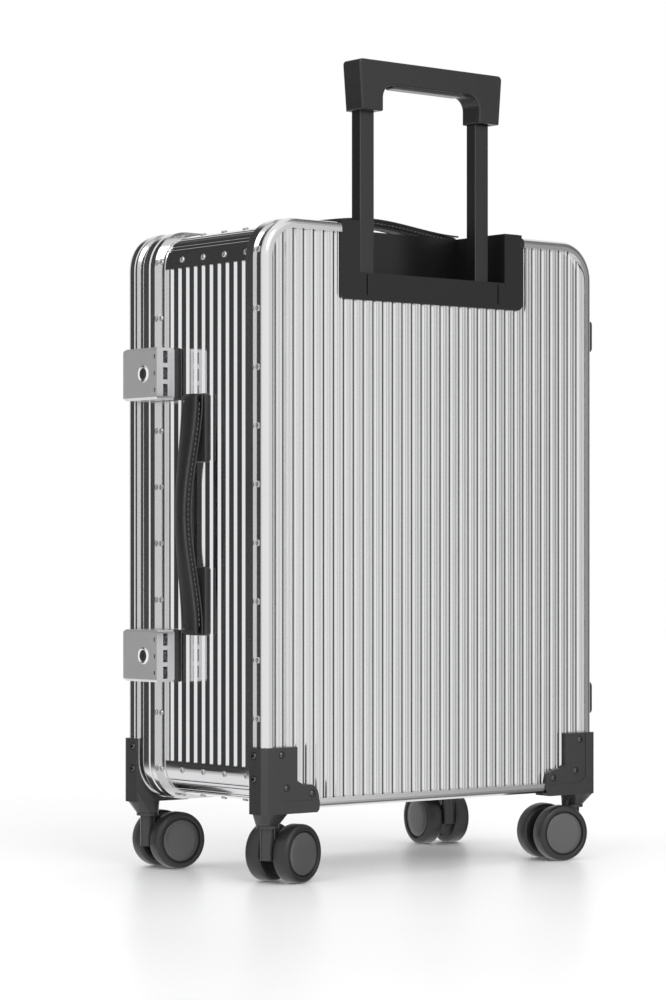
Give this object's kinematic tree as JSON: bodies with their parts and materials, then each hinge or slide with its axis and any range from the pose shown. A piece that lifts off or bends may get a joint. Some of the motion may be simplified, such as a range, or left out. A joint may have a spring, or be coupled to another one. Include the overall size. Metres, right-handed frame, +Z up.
{
  "type": "hard shell suitcase",
  "caption": "Upright hard shell suitcase of ribbed aluminium in riveted frames, with a hinged lid, latch locks, strap handles, telescopic trolley and twin-wheel casters.",
  "frame": {"origin": "on the floor, under the middle of the case", "axes": "+Z up, the trolley is on the +Y face, the lid faces -Y, the locks are on the +X side"},
  "size_m": [0.4169, 0.2423, 0.7026],
  "materials": {
    "satin_aluminium": "satin, brushed along the ribs",
    "dark_aluminium": "polished, mirror-like",
    "black_rubber": "matte",
    "steel": "plain",
    "black_plastic": "fine satin texture",
    "black_leather": "smooth, stitched",
    "black_tube": "black anodised",
    "lock_metal": "satin grey",
    "grey_fabric": "woven lining",
    "webbing": "woven strap",
    "chrome_metal": "polished",
    "wheel_plastic": "black tyre moulded on a grey core"
  },
  "bodies": {
    "body": {"back_panel": "satin_aluminium", "side_panel_left": "dark_aluminium", "side_panel_right": "dark_aluminium", "top_panel": "dark_aluminium", "bottom_panel": "dark_aluminium", "corner_rails": "dark_aluminium", "back_frame": "satin_aluminium", "body_seam_frame": "satin_aluminium", "seam_gasket": "black_rubber", "body_rivets": "steel", "back_bracket_left": "black_plastic", "back_bracket_right": "black_plastic", "body_screws": "black_plastic", "side_handle_strap": "black_leather", "top_handle_strap": "black_leather", "handle_mounts": "black_plastic", "body_feet": "black_plastic", "trolley_housing": "black_plastic", "trolley_outer_tubes": "black_tube", "hinge_leaves_body": "lock_metal", "lock_cases": "lock_metal", "lock_bases": "black_plastic", "body_lining": "grey_fabric", "pack_straps": "webbing"},
    "lid": {"lid_panel": "satin_aluminium", "lid_wall": "dark_aluminium", "lid_front_frame": "satin_aluminium", "lid_seam_frame": "satin_aluminium", "lid_lining": "grey_fabric", "lid_bracket_left": "black_plastic", "lid_bracket_right": "black_plastic", "lid_screws": "black_plastic", "hinge_leaves_lid": "lock_metal", "lock_keepers": "steel"},
    "key_upper": {"key_cylinder_upper": "chrome_metal"},
    "bolt_upper": {"lock_bolt_upper": "steel"},
    "dial_upper_1": {"dial_upper_1": "black_plastic"},
    "dial_upper_2": {"dial_upper_2": "black_plastic"},
    "dial_upper_3": {"dial_upper_3": "black_plastic"},
    "key_lower": {"key_cylinder_lower": "chrome_metal"},
    "bolt_lower": {"lock_bolt_lower": "steel"},
    "dial_lower_1": {"dial_lower_1": "black_plastic"},
    "dial_lower_2": {"dial_lower_2": "black_plastic"},
    "dial_lower_3": {"dial_lower_3": "black_plastic"},
    "trolley_mid": {"trolley_mid_tubes": "black_tube"},
    "trolley_inner": {"trolley_inner_tubes": "black_tube", "trolley_grip": "black_plastic"},
    "release": {"release_button": "chrome_metal"},
    "caster_back_left": {"fork_back_left": "black_plastic"},
    "roller_back_left_a": {"wheel_back_left_a": "wheel_plastic"},
    "roller_back_left_b": {"wheel_back_left_b": "wheel_plastic"},
    "caster_back_right": {"fork_back_right": "black_plastic"},
    "roller_back_right_a": {"wheel_back_right_a": "wheel_plastic"},
    "roller_back_right_b": {"wheel_back_right_b": "wheel_plastic"},
    "caster_front_left": {"fork_front_left": "black_plastic"},
    "roller_front_left_a": {"wheel_front_left_a": "wheel_plastic"},
    "roller_front_left_b": {"wheel_front_left_b": "wheel_plastic"},
    "caster_front_right": {"fork_front_right": "black_plastic"},
    "roller_front_right_a": {"wheel_front_right_a": "wheel_plastic"},
    "roller_front_right_b": {"wheel_front_right_b": "wheel_plastic"}
  },
  "joints": [
    {"name": "lid_hinge", "type": "hinge", "parent": "body", "child": "lid", "pos_m": [-0.1924, -0.064, 0.311], "axis": [0, 0, -1], "range_deg": [0, 105]},
    {"name": "key_turn_upper", "type": "hinge", "parent": "body", "child": "key_upper", "pos_m": [0.205, -0.047, 0.433], "axis": [1, 0, 0], "range_deg": [-90, 0]},
    {"name": "bolt_slide_upper", "type": "slide", "parent": "body", "child": "bolt_upper", "axis": [1, 0, 0], "range_m": [-0.00399, 0]},
    {"name": "dial_spin_upper_1", "type": "hinge", "parent": "body", "child": "dial_upper_1", "pos_m": [0.2, -0.0341, 0.4473], "axis": [1, 0, 0], "continuous": true},
    {"name": "dial_spin_upper_2", "type": "hinge", "parent": "body", "child": "dial_upper_2", "pos_m": [0.2, -0.0341, 0.433], "axis": [1, 0, 0], "continuous": true},
    {"name": "dial_spin_upper_3", "type": "hinge", "parent": "body", "child": "dial_upper_3", "pos_m": [0.2, -0.0341, 0.4187], "axis": [1, 0, 0], "continuous": true},
    {"name": "key_turn_lower", "type": "hinge", "parent": "body", "child": "key_lower", "pos_m": [0.205, -0.047, 0.189], "axis": [1, 0, 0], "range_deg": [-90, 0]},
    {"name": "bolt_slide_lower", "type": "slide", "parent": "body", "child": "bolt_lower", "axis": [1, 0, 0], "range_m": [-0.00399, 0]},
    {"name": "dial_spin_lower_1", "type": "hinge", "parent": "body", "child": "dial_lower_1", "pos_m": [0.2, -0.0341, 0.2033], "axis": [1, 0, 0], "continuous": true},
    {"name": "dial_spin_lower_2", "type": "hinge", "parent": "body", "child": "dial_lower_2", "pos_m": [0.2, -0.0341, 0.189], "axis": [1, 0, 0], "continuous": true},
    {"name": "dial_spin_lower_3", "type": "hinge", "parent": "body", "child": "dial_lower_3", "pos_m": [0.2, -0.0341, 0.1747], "axis": [1, 0, 0], "continuous": true},
    {"name": "trolley_mid_slide", "type": "slide", "parent": "body", "child": "trolley_mid", "axis": [0, 0, 1], "range_m": [0, 0.215]},
    {"name": "trolley_inner_slide", "type": "slide", "parent": "trolley_mid", "child": "trolley_inner", "axis": [0, 0, 1], "range_m": [-0.1403, 0.1]},
    {"name": "release_press", "type": "slide", "parent": "trolley_inner", "child": "release", "axis": [0, 0, 1], "range_m": [0, 0.003], "stiffness_N_per_m": 600, "springref_m": -0.002},
    {"name": "swivel_back_left", "type": "hinge", "parent": "body", "child": "caster_back_left", "pos_m": [0.177, 0.0854, 0.05], "axis": [0, 0, 1], "continuous": true},
    {"name": "roll_back_left_a", "type": "hinge", "parent": "caster_back_left", "child": "roller_back_left_a", "pos_m": [0.15605, 0.08056, 0.025], "axis": [0.225, -0.9744, 0], "continuous": true},
    {"name": "roll_back_left_b", "type": "hinge", "parent": "caster_back_left", "child": "roller_back_left_b", "pos_m": [0.15605, 0.08056, 0.025], "axis": [0.225, -0.9744, 0], "continuous": true},
    {"name": "swivel_back_right", "type": "hinge", "parent": "body", "child": "caster_back_right", "pos_m": [-0.177, 0.0854, 0.05], "axis": [0, 0, 1], "continuous": true},
    {"name": "roll_back_right_a", "type": "hinge", "parent": "caster_back_right", "child": "roller_back_right_a", "pos_m": [-0.15605, 0.08056, 0.025], "axis": [0.225, 0.9744, 0], "continuous": true},
    {"name": "roll_back_right_b", "type": "hinge", "parent": "caster_back_right", "child": "roller_back_right_b", "pos_m": [-0.15605, 0.08056, 0.025], "axis": [0.225, 0.9744, 0], "continuous": true},
    {"name": "swivel_front_left", "type": "hinge", "parent": "lid", "child": "caster_front_left", "pos_m": [0.177, -0.0854, 0.05], "axis": [0, 0, 1], "continuous": true},
    {"name": "roll_front_left_a", "type": "hinge", "parent": "caster_front_left", "child": "roller_front_left_a", "pos_m": [0.15558, -0.08353, 0.025], "axis": [-0.0872, -0.9962, 0], "continuous": true},
    {"name": "roll_front_left_b", "type": "hinge", "parent": "caster_front_left", "child": "roller_front_left_b", "pos_m": [0.15558, -0.08353, 0.025], "axis": [-0.0872, -0.9962, 0], "continuous": true},
    {"name": "swivel_front_right", "type": "hinge", "parent": "lid", "child": "caster_front_right", "pos_m": [-0.177, -0.0854, 0.05], "axis": [0, 0, 1], "continuous": true},
    {"name": "roll_front_right_a", "type": "hinge", "parent": "caster_front_right", "child": "roller_front_right_a", "pos_m": [-0.18073, -0.10657, 0.025], "axis": [0.9848, -0.1736, 0], "continuous": true},
    {"name": "roll_front_right_b", "type": "hinge", "parent": "caster_front_right", "child": "roller_front_right_b", "pos_m": [-0.18073, -0.10657, 0.025], "axis": [0.9848, -0.1736, 0], "continuous": true}
  ],
  "couplings": [
    {"joint": "key_turn_upper", "follows": "bolt_slide_upper", "rad_per_m": 393},
    {"joint": "key_turn_lower", "follows": "bolt_slide_lower", "rad_per_m": 393}
  ]
}
